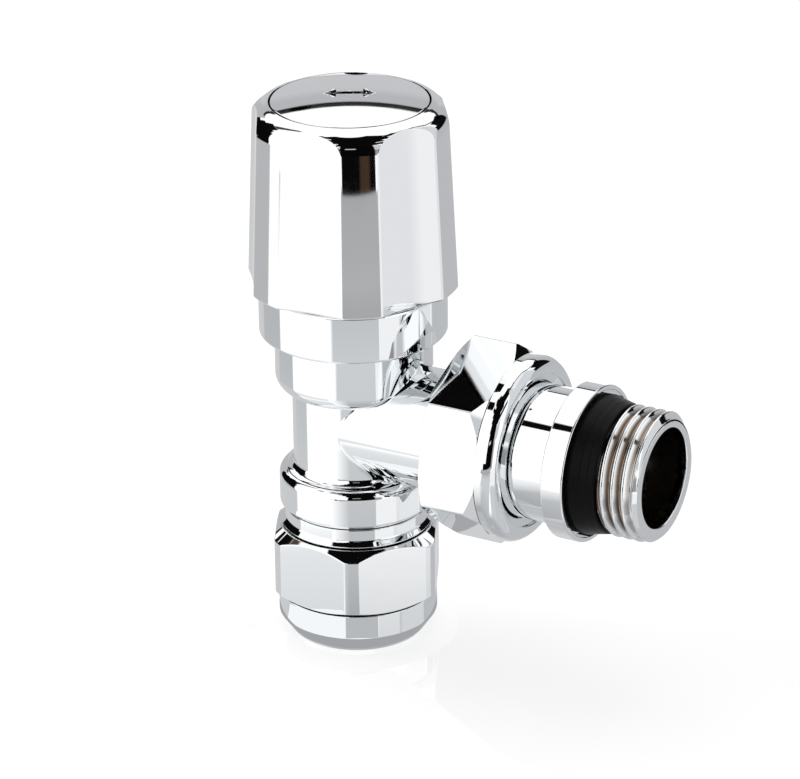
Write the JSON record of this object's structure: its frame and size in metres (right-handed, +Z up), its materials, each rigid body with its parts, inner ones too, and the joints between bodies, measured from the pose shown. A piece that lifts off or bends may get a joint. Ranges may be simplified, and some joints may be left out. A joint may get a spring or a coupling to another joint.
{
  "type": "angled radiator valve",
  "caption": "Chromed angle radiator valve with a fluted wheelhead, a compression nut for the pipe below and a union tail with a rubber-sealed male thread.",
  "frame": {"origin": "centre of the pipe hole, at the lower end of the compression nut", "axes": "+Z up along the pipe and the spindle towards the wheelhead, +X along the branch towards the radiator"},
  "size_m": [0.0725, 0.0334, 0.0922],
  "materials": {
    "chromed_brass": "bright chrome plate on brass",
    "chromed_abs": "bright chrome plate on moulded ABS",
    "plain_brass": "turned brass",
    "black_rubber": "matt moulded rubber",
    "white_ptfe": "smooth PTFE",
    "stainless_steel": "drawn stainless steel"
  },
  "bodies": {
    "root": {"valve_body": "chromed_brass", "bonnet": "plain_brass", "bonnet_o_ring": "black_rubber", "gland_washer": "plain_brass", "spindle_o_ring": "black_rubber", "gland_packing": "white_ptfe", "gland_nut": "plain_brass", "head_shroud": "chromed_brass"},
    "disc": {"disc_holder": "plain_brass", "disc_washer": "black_rubber", "disc_screw": "stainless_steel"},
    "head": {"spindle": "plain_brass", "wheelhead": "chromed_abs", "wheelhead_cap": "chromed_abs", "head_screw": "stainless_steel", "head_screw_washer": "stainless_steel"},
    "tail": {"tailpiece": "chromed_brass", "tail_clip": "stainless_steel", "union_o_ring": "black_rubber", "radiator_seal": "black_rubber"},
    "union_nut": {"union_nut": "chromed_brass"},
    "olive": {"olive": "plain_brass"},
    "compression_nut": {"compression_nut": "chromed_brass"}
  },
  "joints": [
    {"name": "disc_lift", "type": "slide", "parent": "root", "child": "disc", "axis": [0, 0, 1], "range_m": [0, 0.00337]},
    {"name": "head_turn", "type": "hinge", "parent": "disc", "child": "head", "pos_m": [0, 0, 0.0608], "axis": [0, 0, 1], "range_deg": [0, 810]},
    {"name": "tail_draw", "type": "slide", "parent": "root", "child": "tail", "axis": [1, 0, 0], "range_m": [0, 0.00675]},
    {"name": "union_nut_turn", "type": "hinge", "parent": "tail", "child": "union_nut", "pos_m": [0.0196, 0, 0.03785], "axis": [1, 0, 0], "range_deg": [0, 1620]},
    {"name": "olive_travel", "type": "slide", "parent": "root", "child": "olive", "axis": [0, 0, -1], "range_m": [0, 0.00998]},
    {"name": "compression_nut_turn", "type": "hinge", "parent": "olive", "child": "compression_nut", "pos_m": [0, 0, 0], "axis": [0, 0, -1], "range_deg": [0, 1980]}
  ],
  "couplings": [
    {"joint": "head_turn", "follows": "disc_lift", "rad_per_m": 4188.8},
    {"joint": "union_nut_turn", "follows": "tail_draw", "rad_per_m": 4188.8},
    {"joint": "compression_nut_turn", "follows": "olive_travel", "rad_per_m": 3463.7}
  ]
}
